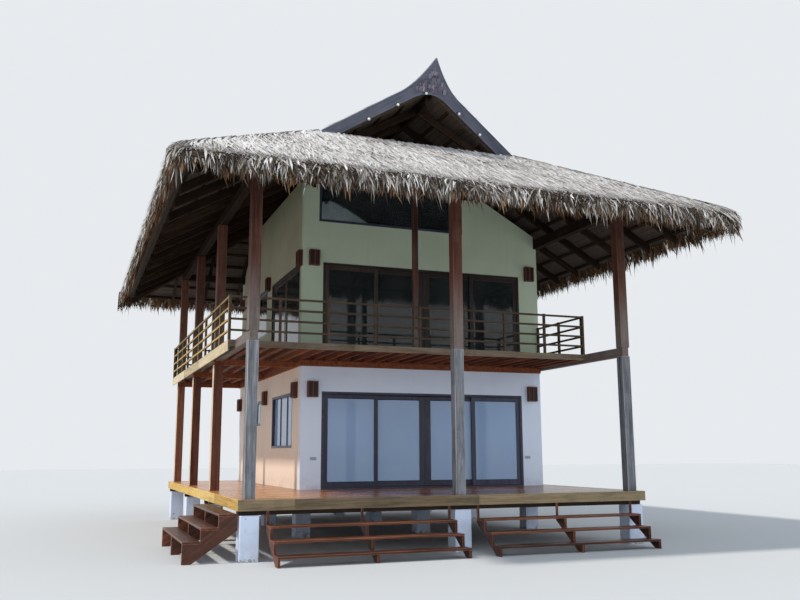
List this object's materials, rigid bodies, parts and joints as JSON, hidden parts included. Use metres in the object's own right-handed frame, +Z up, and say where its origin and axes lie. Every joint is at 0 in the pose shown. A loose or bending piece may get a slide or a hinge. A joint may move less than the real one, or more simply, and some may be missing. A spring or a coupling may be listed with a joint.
{
  "type": "two-storey stilt house with thatched roof",
  "caption": "Timber and plaster house on short piers, with an open deck, a wrap-around balcony, sliding glass doors and a thatched hip roof with raked gables.",
  "frame": {"origin": "on the ground under the centre of the deck", "axes": "+X to the right seen from the front, +Y from the front stairs to the back, +Z up"},
  "size_m": [11.6, 14.15, 10.3166],
  "materials": {
    "white_concrete": "painted white, weathered",
    "underdeck_timber": "dark stained, matt",
    "deck_wood": "oiled and polished boards",
    "fascia_wood": "planed, weathered yellow-brown",
    "stair_wood": "dark stained, worn",
    "white_plaster": "smooth painted plaster",
    "cream_plaster": "smooth painted plaster",
    "frame_wood": "dark stained, satin",
    "glass": "clear",
    "lamp_wood": "red-brown, satin",
    "balcony_timber": "red-brown, planed",
    "balcony_wood": "planed boards",
    "grey_timber": "weathered grey, split",
    "red_timber": "red-brown, planed",
    "rail_wood": "planed, weathered",
    "roof_timber": "dark brown, rough",
    "thatch": "weathered dry grass, shaggy",
    "shingle_wood": "weathered grey, shingled"
  },
  "bodies": {
    "house": {"concrete_piers": "white_concrete", "deck_bearers": "underdeck_timber", "deck_joists": "underdeck_timber", "deck_boards": "deck_wood", "room_floor": "deck_wood", "upper_floor": "deck_wood", "deck_fascia": "fascia_wood", "stair_stringers": "stair_wood", "stair_treads": "stair_wood", "lower_wall_door_left": "white_plaster", "lower_wall_door_right": "white_plaster", "lower_wall_door_head": "white_plaster", "lower_side_walls": "white_plaster", "lower_rear_wall": "white_plaster", "upper_front_wall": "cream_plaster", "upper_side_walls": "cream_plaster", "upper_rear_wall": "cream_plaster", "lower_door_frame": "frame_wood", "fixed_leaves": "frame_wood", "upper_door_frames": "frame_wood", "upper_door_leaves": "frame_wood", "window_frames": "frame_wood", "window_glass": "glass", "wall_lamps": "lamp_wood", "balcony_beams": "balcony_timber", "balcony_joists": "balcony_timber", "balcony_boards": "balcony_wood", "balcony_fascia": "balcony_wood", "tie_beams": "grey_timber", "lower_posts": "grey_timber", "upper_posts": "red_timber", "front_railing": "rail_wood", "left_railing": "rail_wood", "end_railings": "rail_wood", "plate_beams": "roof_timber", "gable_beams": "roof_timber", "rafters": "roof_timber", "battens": "roof_timber", "left_thatch": "thatch", "right_thatch": "thatch", "end_thatch": "thatch", "bargeboards": "shingle_wood"},
    "leaf_left": {"sliding_leaf_left": "frame_wood", "sliding_glass_left": "glass"},
    "leaf_right": {"sliding_leaf_right": "frame_wood", "sliding_glass_right": "glass"}
  },
  "joints": [
    {"name": "leaf_left_slide", "type": "slide", "parent": "house", "child": "leaf_left", "axis": [1, 0, 0], "range_m": [-1.1875, 0]},
    {"name": "leaf_right_slide", "type": "slide", "parent": "house", "child": "leaf_right", "axis": [1, 0, 0], "range_m": [0, 1.1875]}
  ]
}
